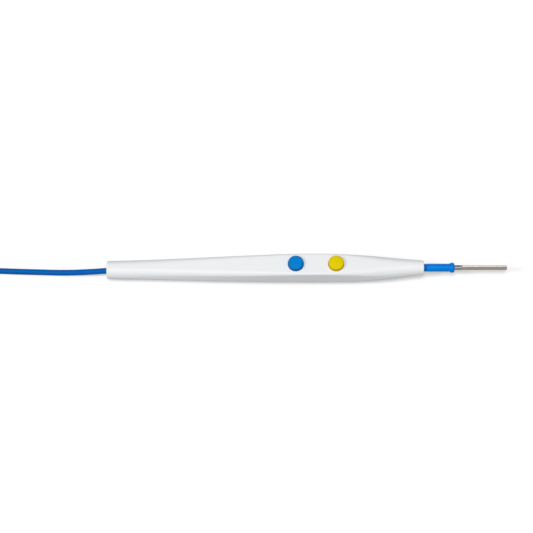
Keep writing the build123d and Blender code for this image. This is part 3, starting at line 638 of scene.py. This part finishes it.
def shell(name, upper):
    """Closed shell: at each cross-section the outer half outline, the meeting ledge with its lip or
    rebate, the inner half outline or the hole in an end wall, and the ledge on the other side."""
    inside = (shell_x > cavity_rear) & (shell_x < cavity_front)
    sign = 1 if upper else -1
    outer = half_outlines(shell_x, end_inset, upper, sign * groove)
    grooved = half_outlines(shell_x, end_inset + groove, upper, 0.0)[:, [0, -1]]
    count = outer.shape[1]
    play = lip_clearance if upper else 0.0
    rise = np.where(inside, lip_height + play, 0.0)
    lip_inset = np.full_like(shell_x, wall - lip_thickness - play)
    inner = half_outlines(shell_x, np.full_like(shell_x, wall), upper, rise)
    tail_hole = hole_outlines(shell_x, lead_hole, cord_exit_height, upper, count)
    nose_hole = hole_outlines(shell_x, hexagon, nose_axis_height, upper, count)
    inner = np.where((shell_x < cavity_rear)[:, None, None], tail_hole, inner)
    inner = np.where((shell_x > cavity_front)[:, None, None], nose_hole, inner)
    foot = half_outlines(shell_x, lip_inset, upper, 0.0)[:, [0, -1]]
    head = half_outlines(shell_x, lip_inset, upper, rise)[:, [0, -1]]
    middle = (grooved + inner[:, [0, -1]]) / 2
    foot = np.where(inside[:, None, None], foot, (grooved + middle) / 2)
    head = np.where(inside[:, None, None], head, middle)
    ring = np.concatenate(
        [
            outer,
            grooved[:, 1:],
            foot[:, 1:],
            head[:, 1:],
            inner[:, ::-1],
            head[:, :1],
            foot[:, :1],
            grooved[:, :1],
        ],
        1,
    )
    along = np.broadcast_to(shell_x[:, None, None], ring.shape[:2] + (1,))
    columns = ring.shape[1]
    faces = grid_faces(len(shell_x), columns, closed_columns=True)
    # Each end: faces from the outer outline across to the hole, and one face at each of the two ledges.
    for row in (0, len(shell_x) - 1):
        base = row * columns
        last_inner = 2 * count + 2
        for j in range(count - 1):
            faces.append([base + j, base + j + 1, base + last_inner - j - 1, base + last_inner - j])
        faces.append([base + count - 1 + k for k in range(5)])
        faces.append([base + last_inner + k for k in range(4)] + [base])
    points = np.concatenate([along, ring], -1)
    return solid_piece(name, points, faces, "handle", shell_plastic, sharp=shell_sharp)


shell_plastic = plastic(
    "shell_plastic", (0.845, 0.862, 0.880), (0.875, 0.890, 0.900), 0.42, 5200.0, 0.000006, gloss=0.2
)
lower_shell = shell("lower_shell_moulding", upper=False)
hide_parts("lower_shell")
upper_shell = shell("upper_shell_moulding", upper=True)
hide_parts("upper_shell")

# The two press buttons. Round caps with a crowned, finely pitted top, over a flange with two flats that
# catches under the deck and a stem above the snap dome; yellow cuts and blue coagulates.

cut_button_setback = 0.0403
button_spacing = 0.0184
button_radius = 0.00355
button_stand = 0.0019
button_crown = 0.00025
button_edge_round = 0.00055
flange_radius = 0.0045
flange_half_width = 0.0037
flange_top = 0.0115
flange_thickness = 0.0008
stem_radius = 0.0015
stem_foot = 0.00945
edge_round_share = 0.9
fine_round = 0.0001
stem_round = 0.0002
flats_play = 0.00005
crown_rings = 40
button_segments = 144
pit_depth = 0.00003
pit_spacing = 0.00072
pit_spacing_shares = (0.8, 1.25)
pit_waves = 26
pit_margin = 0.00025
pit_fade = 0.0004
pit_reach_down = 0.0003
pit_painted_light_middle = 0.62
pit_painted_light_swing = 0.5
rim_painted_shade_width = 0.0008


def rounded_line(corners, radii, steps=6):
    """Open line along the corners. Each inner one is cut by an arc that meets both its sides, whose points
    are mixes of the arc's two ends about its centre, weighted by sines of the angle to the other end."""
    corners = np.asarray(corners, float)
    line = [corners[0]]
    for before, corner, after, radius in zip(corners, corners[1:], corners[2:], radii):
        back = (before - corner) / np.linalg.norm(before - corner)
        on = (after - corner) / np.linalg.norm(after - corner)
        half = np.arccos(np.clip(back @ on, -1, 1)) / 2
        middle = (back + on) / np.linalg.norm(back + on)
        centre = corner + middle * radius / np.sin(half)
        first = corner + back * radius / np.tan(half) - centre
        last = corner + on * radius / np.tan(half) - centre
        turned = np.pi - 2 * half
        for share in np.linspace(0, 1, steps):
            arc = first * np.sin((1 - share) * turned) + last * np.sin(share * turned)
            line.append(centre + arc / np.sin(turned))
    line.append(corners[-1])
    return np.array(line)


def turned_grid(profile, segments):
    """Places along the axis and two across it: each profile point goes round a full circle."""
    angle = np.linspace(0, 2 * np.pi, segments, endpoint=False)
    along = np.repeat(profile[:, :1], segments, 1)
    return along, profile[:, 1:] * np.cos(angle), profile[:, 1:] * np.sin(angle)


def pitted(x, y, seed):
    """Relief of a moulded pitted face: the sum of equal waves in random directions."""
    draw = np.random.default_rng(seed)
    direction = draw.uniform(0, 2 * np.pi, pit_waves)
    phase = draw.uniform(0, 2 * np.pi, pit_waves)
    length = pit_spacing * draw.uniform(*pit_spacing_shares, pit_waves)
    wave = (x[..., None] * np.cos(direction) + y[..., None] * np.sin(direction)) * 2 * np.pi / length
    return np.cos(wave + phase).sum(-1) / np.sqrt(pit_waves / 2)


def press_button(name, node, body, x, material, seed):
    """Cap, flange and stem, turned about one axis: the crown falls with the square of the radius, the
    pits fade out before its rounded edge, and the flange is clipped to its two flats. The tone is painted
    light and shade: lighter where the pits stand up, darker where they sink, and darkest at the rim."""
    rim = handle_height + button_stand - button_crown
    flat = np.linspace(0, button_radius - button_edge_round, crown_rings)
    crown = np.stack([rim + button_crown * (1 - (flat / button_radius) ** 2), flat], 1)
    side = rounded_line(
        [
            crown[-1],
            (rim, button_radius),
            (flange_top, button_radius),
            (flange_top, flange_radius),
            (flange_top - flange_thickness, flange_radius),
            (flange_top - flange_thickness, stem_radius),
            (stem_foot, stem_radius),
            (stem_foot, 0),
        ],
        [button_edge_round * edge_round_share, *[fine_round] * 4, stem_round],
    )
    profile = np.concatenate([crown, side[1:]])
    z, across, depth = turned_grid(profile, button_segments)
    below = z < flange_top + flats_play
    depth = np.where(below, np.clip(depth, -flange_half_width, flange_half_width), depth)
    fade = np.clip((button_radius - pit_margin - np.hypot(across, depth)) / pit_fade, 0, 1)
    relief = pitted(across, depth, seed) * (fade * (z > rim - pit_reach_down))
    # Painted shade: the tone falls to nought towards the cap's rim, and it follows the pits' relief as
    # painted light and shade.
    rim_painted_shade_fade = smooth_step(np.clip((button_radius - np.hypot(across, depth)) / rim_painted_shade_width, 0, 1))
    piece = solid_piece(
        name,
        np.stack([x + across, depth, z + pit_depth * relief], -1),
        grid_faces(*z.shape, closed_columns=True),
        body,
        material,
        sharp=50.0,
        tone=np.clip(pit_painted_light_middle + pit_painted_light_swing * relief, 0, 1) * rim_painted_shade_fade,
    )
    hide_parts(node)


cut_x = nose_x - cut_button_setback
coag_x = cut_x - button_spacing
yellow = plastic(
    "yellow_button", (0.60, 0.42, 0.0), (0.88, 0.73, 0.0), 0.42, 3800.0, 0.000008, gloss=0.05, painted_light_weight=0.8
)
blue = plastic(
    "blue_button", (0.0, 0.10, 0.34), (0.0, 0.28, 0.80), 0.42, 3800.0, 0.000008, gloss=0.05, painted_light_weight=0.8
)
press_button("cut_button_cap", "cut_button", "cut_key", cut_x, yellow, 3)
press_button("coag_button_cap", "coag_button", "coag_key", coag_x, blue, 4)

# Holes in the deck. Each button stands in a round hole with a softened rim, cut through the finished
# upper moulding. Its flange is wider than the hole and catches below the deck.

button_clearance = 0.0001
hole_rim = 0.0001
hole_radius = button_radius + button_clearance
hole_overrun = 0.001
hole_shoulder = 0.00001
hole_underrun = 0.0005
cutter_top = handle_height + hole_overrun
cutter_shoulder = handle_height + hole_shoulder
cutter_foot = handle_height - wall - hole_underrun
cutter = np.array(
    [
        (cutter_top, 0),
        (cutter_top, hole_radius + hole_rim),
        (cutter_shoulder, hole_radius + hole_rim),
        (handle_height - hole_rim, hole_radius),
        (cutter_foot, hole_radius),
        (cutter_foot, 0),
    ]
)
z, across, depth = turned_grid(cutter, button_segments)
for x in (cut_x, coag_x):
    mesh = bpy.data.meshes.new("hole")
    places = np.stack([x + across, depth, z], -1).reshape(-1, 3)
    mesh.from_pydata(places.tolist(), [], grid_faces(*z.shape, closed_columns=True))
    join_doubles(mesh)
    hole = bpy.data.objects.new("hole", mesh)
    bpy.context.scene.collection.objects.link(hole)
    cut = upper_shell.modifiers.new("hole", "BOOLEAN")
    cut.operation = "DIFFERENCE"
    cut.object = hole
    cut.solver = "EXACT"
    bpy.context.view_layer.update()
    evaluated = upper_shell.evaluated_get(bpy.context.evaluated_depsgraph_get())
    finished = bpy.data.meshes.new_from_object(evaluated)
    upper_shell.modifiers.clear()
    upper_shell.data = finished
    bpy.data.objects.remove(hole)
finished.shade_smooth()
finished.set_sharp_from_angle(angle=np.radians(shell_sharp))

# The electrode. A drawn stainless rod, pressed flat at its front into a blade with rounded edges and a
# rounded tip, and turned about its axis so that one edge stands up.

electrode_insertion = 0.0251
electrode_reach = 0.0384
shank_radius = 0.00119
rear_chamfer = 0.0002
blade_length = 0.0199
shoulder_length = 0.0019
blade_half_width = 0.00134
blade_half_thickness = 0.0005
blade_edge_round = 0.0003
blade_tip_round = 0.0009
blade_roll = np.radians(70.0)
tip_thins_from_share = 0.72
tip_thinned_most = 0.98
painted_edge_highlight_width = 0.00032
painted_edge_highlight_fade = 0.00014
outline_points = 72
shank_rings = 40
shoulder_rings = 16
blade_rings = 60
tip_rings = 12
line_share = 0.6
line_roughness = 0.25
cloud_scale = 300.0


def metal(name, colour, shift, roughness, lines, spacing, relief=0.000004, painted_light_tones=None):
    """Drawn or turned metal: fine lines along one direction, which the stretch of the noise gives. Where the
    mesh has an attribute named tone, it picks painted light: lit and shaded colours for 0, one half and 1."""
    material, start = new_material(name)
    place = start.node("ShaderNodeTexCoord", output="Object")
    stretched = start.node("ShaderNodeMapping", inputs={"Vector": place, "Scale": lines})
    line = start.node("ShaderNodeTexNoise", inputs={"Vector": stretched, "Scale": spacing, "Detail": 4.0})
    cloud = start.node("ShaderNodeTexNoise", inputs={"Vector": place, "Scale": cloud_scale, "Detail": 2.0})
    mixed = start.node(
        "ShaderNodeMix",
        {"data_type": "RGBA"},
        {"Factor": line * line_share + cloud * (1 - line_share), "A": (*colour, 1), "B": (*shift, 1)},
        output="Result",
    )
    # The tone attribute picks painted light: lit and shaded colours of the one metal.
    if painted_light_tones:
        tone = start.node("ShaderNodeAttribute", {"attribute_name": "tone"}, output="Fac")
        stops = [(at, (*stop, 1)) for at, stop in zip((0.0, 0.5, 1.0), painted_light_tones)]
        hue = start.node("ShaderNodeValToRGB", {"stops": stops}, {"Fac": tone})
        mixed = start.node(
            "ShaderNodeMix",
            {"data_type": "RGBA", "blend_type": "MULTIPLY"},
            {"Factor": 1.0, "A": mixed, "B": hue},
            output="Result",
        )
    normal = start.node(
        "ShaderNodeBump", inputs={"Strength": 1.0, "Distance": relief, "Height": line}, output="Normal"
    )
    shader = start.node(
        "ShaderNodeBsdfPrincipled",
        inputs={
            "Base Color": mixed,
            "Metallic": 1.0,
            "Roughness": roughness + (line - 0.5) * line_roughness,
            "Normal": normal,
        },
    )
    start.node("ShaderNodeOutputMaterial", inputs={"Surface": shader})
    return material


def even_points(line, count):
    """Points on a closed line at equal parts of its length, and each one's distance along it."""
    lengths = np.concatenate([[0], np.cumsum(np.linalg.norm(np.diff(line, axis=0), axis=1))])
    even = np.linspace(0, lengths[-1], count, endpoint=False)
    return np.stack([np.interp(even, lengths, line[:, k]) for k in (0, 1)], 1), even


def blade_surface():
    """Points of the electrode, ring by ring, and the tone of each. Over the shoulder the ring goes from a
    circle to a rounded oblong by a smooth step. The tip's width follows a quarter circle, and its thickness
    another one over its last part. All is turned by the blade's roll. The tone is painted light: nought on
    the round shank, one half on the blade's faces and 1 on its edges, which are painted bright as a
    highlight."""
    tip_x = nose_x + electrode_reach
    blade_start = tip_x - blade_length
    shank_front = blade_start - shoulder_length
    shank_rear = nose_x - electrode_insertion
    oblong = rounded_line(
        [
            (0, blade_half_thickness),
            (blade_half_width, blade_half_thickness),
            (blade_half_width, -blade_half_thickness),
            (-blade_half_width, -blade_half_thickness),
            (-blade_half_width, blade_half_thickness),
            (0, blade_half_thickness),
        ],
        [blade_edge_round] * 4,
        steps=7,
    )
    flat_outline = even_points(oblong, outline_points)[0]
    angle = np.pi / 2 - 2 * np.pi * np.arange(outline_points) / outline_points
    round_outline = shank_radius * np.stack([np.cos(angle), np.sin(angle)], 1)
    tip_turn = np.linspace(0, np.pi / 2, tip_rings)
    x = np.concatenate(
        [
            [shank_rear, shank_rear, shank_rear + rear_chamfer],
            np.linspace(shank_rear + rear_chamfer, shank_front, shank_rings)[1:],
            np.linspace(shank_front, blade_start, shoulder_rings)[1:],
            np.linspace(blade_start, tip_x - blade_tip_round, blade_rings)[1:],
            (tip_x - blade_tip_round + blade_tip_round * np.sin(tip_turn))[1:],
            [tip_x],
        ]
    )
    flatness = smooth_step(np.clip((x - shank_front) / shoulder_length, 0, 1))[:, None, None]
    outline = round_outline * (1 - flatness) + flat_outline * flatness
    past = np.clip((x - tip_x + blade_tip_round) / blade_tip_round, 0, 1)
    width = 1 - (1 - np.sqrt(1 - past**2)) * blade_tip_round / blade_half_width
    thinned = np.clip((past - tip_thins_from_share) / (1 - tip_thins_from_share), 0, tip_thinned_most)
    thick = np.sqrt(1 - thinned**2)
    width[0] = thick[0] = width[-1] = thick[-1] = 0
    width[1] = thick[1] = 1 - rear_chamfer / shank_radius
    across = outline[..., 0] * width[:, None]
    rise = outline[..., 1] * thick[:, None]
    points = np.stack(
        [
            np.repeat(x[:, None], outline_points, 1),
            across * np.cos(blade_roll) - rise * np.sin(blade_roll),
            nose_axis_height + across * np.sin(blade_roll) + rise * np.cos(blade_roll),
        ],
        -1,
    )
    # Painted highlight: the tone rises to 1 along both edges of the blade.
    from_edge = blade_half_width - np.abs(outline[..., 0])
    edge = smooth_step(np.clip((painted_edge_highlight_width - from_edge) / painted_edge_highlight_fade, 0, 1))
    return points, (0.5 + 0.5 * edge) * flatness[..., 0]


# Lit and shaded colours of the one steel: a dark shank and darker faces as painted shade, light edges as a
# painted highlight.
steel = metal(
    "drawn_steel",
    (0.85, 0.85, 0.85),
    (1.0, 1.0, 1.0),
    0.34,
    (12.0, 1.0, 1.0),
    2600.0,
    painted_light_tones=((0.24, 0.235, 0.23), (0.31, 0.275, 0.245), (0.75, 0.69, 0.61)),
)
points, tone = blade_surface()
blade = solid_piece(
    "blade",
    points,
    grid_faces(*tone.shape, closed_columns=True),
    "electrode",
    steel,
    sharp=40.0,
    tone=tone,
)
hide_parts("electrode_blade")

# The electrode's sleeve. Blue plastic moulded round the rod: a hexagon that fits the nose's socket,
# then a round barrel, and a rounded ring at the front that stops a finger.

sleeve_depth = 0.0047
sleeve_exposure = 0.0142
hexagon_exposure = 0.0018
hexagon_fade = 0.0003
flare_length = 0.0005
ring_radius = 0.00236
ring_length = 0.0019
ring_rear_inset = 0.0001
ring_front_inset = 0.0002
ring_rear_share = 0.93
ring_crown_share = 1.005
ring_front_share = 0.90
front_face_width = 0.0003
front_dish = 0.0003
sleeve_rounds = (0.0001, 0.0006, 0.0003, 0.0012, 0.0004, 0.0001)
barrel_rings = 90
sleeve_segments = 96
barrel_tone = 0.75
painted_nose_shade_drop = 0.55
painted_nose_shade_fade = 0.0004


def sleeve_surface():
    """Points of the sleeve, ring by ring, and the tone of each. The profile goes round a full circle. Up to
    the hexagon's end no point lies further out than the flat's distance over the cosine of the angle from
    the flat's middle. The hexagon has the darker tone, painted shade for the shadow the nose casts on it."""
    sleeve_rear = nose_x - sleeve_depth
    sleeve_front = nose_x + sleeve_exposure
    ring_rear = sleeve_front - ring_length
    profile = rounded_line(
        [
            (sleeve_rear, shank_radius),
            (sleeve_rear, sleeve_radius),
            (ring_rear - flare_length, sleeve_radius),
            (ring_rear + ring_rear_inset, ring_radius * ring_rear_share),
            (sleeve_front - ring_length / 2, ring_radius * ring_crown_share),
            (sleeve_front - ring_front_inset, ring_radius * ring_front_share),
            (sleeve_front, shank_radius + front_face_width),
            (sleeve_front - front_dish, shank_radius),
        ],
        sleeve_rounds,
        steps=9,
    )
    longest = int(np.argmax(np.diff(profile[:, 0])))
    share = np.linspace(0, 1, barrel_rings)[1:-1, None]
    barrel = profile[longest] + share * (profile[longest + 1] - profile[longest])
    profile = np.concatenate([profile[: longest + 1], barrel, profile[longest + 1:]])
    along, across, depth = turned_grid(profile, sleeve_segments)
    reach = np.hypot(across, depth)
    sixth = np.pi / 3
    flat_reach = sleeve_flat / np.cos(np.mod(np.arctan2(depth, across), sixth) - sixth / 2)
    past_hexagon = along - nose_x - hexagon_exposure
    hexed = 1 - smooth_step(np.clip(past_hexagon / hexagon_fade + 0.5, 0, 1))
    shrink = (reach + (np.minimum(reach, flat_reach) - reach) * hexed) / reach
    points = np.stack([along, across * shrink, nose_axis_height + depth * shrink], -1)
    # Painted shade: the tone drops on the hexagon by the nose, standing for the nose's shadow on it.
    return points, barrel_tone - painted_nose_shade_drop * np.clip(0.5 - past_hexagon / painted_nose_shade_fade, 0, 1)


sleeve_blue = plastic(
    "sleeve_blue", (0.0, 0.115, 0.46), (0.0, 0.235, 0.80), 0.30, 1800.0, 0.000004, gloss=0.06, painted_light_weight=0.8
)
points, tone = sleeve_surface()
sleeve = solid_piece(
    "sleeve",
    points,
    grid_faces(*tone.shape, closed_columns=True, closed_rows=True),
    "electrode",
    sleeve_blue,
    sharp=24.0,
    tone=tone,
)
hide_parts("electrode_sleeve")

# Inside the handle. The switch board with its snap domes, film, strip and solder, the brass receptacle
# with its sprung fingers, the ferrule on the lead and the three wires.


def smooth_piece(name, node, material, sharp=32.0):
    """Copy of a solid's mesh with its doubles merged, so that its curved faces shade smoothly."""
    mesh = nodes[node].data.copy()
    join_doubles(mesh, outwards=False)
    mesh.materials.clear()
    mesh.materials.append(material)
    piece = placed(name, mesh, "handle", sharp)
    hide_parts(node)
    return piece


board_resist = plastic("board_resist", (0.02, 0.16, 0.07), (0.03, 0.22, 0.10), 0.30, 900.0, 0.00001, coat=0.3)
film = plastic("polyester_film", (0.70, 0.66, 0.52), (0.78, 0.74, 0.60), 0.25, 700.0, 0.000004)
dome_steel = metal("dome_steel", (0.62, 0.61, 0.59), (0.74, 0.73, 0.71), 0.24, (1.0, 14.0, 1.0), 2200.0)
turned_brass = metal("turned_brass", (0.66, 0.45, 0.17), (0.80, 0.58, 0.26), 0.26, (30.0, 1.0, 1.0), 900.0)
solder = metal("solder", (0.60, 0.60, 0.60), (0.74, 0.74, 0.74), 0.22, (1.0, 1.0, 1.0), 1200.0)
smooth_piece("board", "switch_board", board_resist)
smooth_piece("film", "dome_spacer", film)
for name, node, press, x in (
    ("cut_snap_dome", "cut_dome", "cut_button_press", cut_x),
    ("coag_snap_dome", "coag_dome", "coag_button_press", coag_x),
):
    dome = smooth_piece(name, node, dome_steel)
    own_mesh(dome)
smooth_piece("receptacle", "electrode_receptacle", turned_brass)
smooth_piece("strap", "receptacle_strap", turned_brass)
smooth_piece("ferrule", "cable_anchor", turned_brass)
smooth_piece("solder_beads", "solder_joints", solder)
white_wire = plastic("white_wire", (0.72, 0.72, 0.70), (0.80, 0.80, 0.78), 0.45, 2500.0, 0.000006)
yellow_wire = plastic("yellow_wire", (0.72, 0.50, 0.02), (0.80, 0.58, 0.04), 0.45, 2500.0, 0.000006)
blue_wire = plastic("blue_wire", (0.01, 0.10, 0.40), (0.02, 0.14, 0.48), 0.45, 2500.0, 0.000006)
smooth_piece("active_wire_run", "active_wire", white_wire)
smooth_piece("cut_wire_run", "cut_wire", yellow_wire)
smooth_piece("coag_wire_run", "coag_wire", blue_wire)

# The hank's tie. A plastic-coated paper strip with a wire along its middle, wrapped once round the waist;
# its two ends are twisted together on top.

tie_half_width = 0.002
tie_thickness = 0.0006
tie_edge = 0.00022
tie_corner = 0.0015
tie_half_span = hank_columns * cord_diameter
tie_height = hank_rows * cord_diameter
ridge_width_share = 0.22
crease_depth = 0.00005
crease_pitch = 0.0023
crease_slant = 3
loop_rings = 220
strap_columns = 17
twist_length = 0.012
twist_radius = 0.00075
twist_turns = 3.5
twist_thickness_share = 0.45
twist_end_power = 30
twist_rings = 90
twist_segments = 24


def strap_surface():
    """Points of the strap: its cross-section goes round a rounded oblong. Across the width the wire's ridge
    is a bell curve over the thin edges, and creases follow a slanted sine that grows towards them."""
    oblong = rounded_line(
        [
            (0, tie_height),
            (tie_half_span, tie_height),
            (tie_half_span, 0),
            (-tie_half_span, 0),
            (-tie_half_span, tie_height),
            (0, tie_height),
        ],
        [tie_corner] * 4,
        steps=10,
    )
    loop, distance = even_points(oblong, loop_rings)
    tangent = np.roll(loop, -1, 0) - np.roll(loop, 1, 0)
    inward = np.stack([tangent[:, 1], -tangent[:, 0]], 1) / np.linalg.norm(tangent, axis=1)[:, None]
    share = np.linspace(-1, 1, strap_columns)
    ridge = tie_edge + (tie_thickness - tie_edge) * np.exp(-((share / ridge_width_share) ** 2))
    wave = np.sin(distance[:, None] * 2 * np.pi / crease_pitch + crease_slant * share)
    outer_depth = np.maximum(tie_thickness - ridge[None] + crease_depth * wave * np.abs(share), 0)
    depth = np.concatenate([outer_depth, np.full_like(outer_depth, tie_thickness)], 1)
    across = np.concatenate([share, share[::-1]]) * tie_half_width
    ring = loop[:, None] + inward[:, None] * depth[..., None]
    x = np.broadcast_to(hank_waist_x + across, depth.shape)
    return np.stack([x, hank_y + ring[..., 0], ring[..., 1]], -1)


def twist_surface():
    """Points of the twisted ends: a flat oval that turns evenly along them, and closes at both ends by a
    high even power of the place."""
    share = np.linspace(0, 1, twist_rings)[:, None]
    spread = np.sqrt(np.clip(1 - (2 * share - 1) ** twist_end_power, 0, 1))
    spin = 2 * np.pi * twist_turns * share
    angle = np.linspace(0, 2 * np.pi, twist_segments, endpoint=False)[None]
    wide = twist_radius * spread * np.cos(angle)
    flat = twist_thickness_share * twist_radius * spread * np.sin(angle)
    x = np.repeat(hank_waist_x + twist_length * share, twist_segments, 1)
    y = hank_y + wide * np.cos(spin) - flat * np.sin(spin)
    z = tie_height + twist_radius + wide * np.sin(spin) + flat * np.cos(spin)
    return np.stack([x, y, z], -1)


tie_white = plastic("tie_paper", (0.74, 0.74, 0.72), (0.82, 0.82, 0.80), 0.5, 1400.0, 0.00002)
points = strap_surface()
faces = grid_faces(*points.shape[:2], closed_rows=True, closed_columns=True)
tie = solid_piece("tie_strap", points, faces, "handle", tie_white, sharp=40.0)
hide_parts("hank_tie")
points = twist_surface()
faces = grid_faces(*points.shape[:2], closed_columns=True)
twist = solid_piece("tie_twist", points, faces, "handle", tie_white, sharp=60.0)

# The plug. Two flat blue mouldings hold three turned pins in an uneven row, and a ringed boot, tapered
# towards the lead, keeps the lead from kinking where it enters. The mouldings meet in a fine dark seam.

plug_seam_height = 0.0055
plug_blue = plastic(
    "plug_blue", (0.0, 0.14, 0.46), (0.0, 0.17, 0.53), 0.42, 3000.0, 0.00002, gloss=0.2, seam=plug_seam_height
)
boot_blue = plastic("boot_blue", (0.0, 0.13, 0.43), (0.0, 0.155, 0.50), 0.50, 3000.0, 0.00001, gloss=0.2)
nickel = metal(
    "nickel", (0.62, 0.60, 0.56), (0.74, 0.72, 0.68), 0.20, (20.0, 1.0, 1.0), 700.0, relief=0.000002
)
plug_pieces = [
    smooth_piece("plug_lower_half", "plug_lower_shell", plug_blue),
    smooth_piece("plug_upper_half", "plug_upper_shell", plug_blue),
    smooth_piece("boot", "plug_boot", boot_blue),
    smooth_piece("active_pin", "plug_active_pin", nickel),
    smooth_piece("cut_pin", "plug_cut_pin", nickel),
    smooth_piece("coag_pin", "plug_coag_pin", nickel),
    smooth_piece("plug_wire_runs", "plug_wires", white_wire),
]
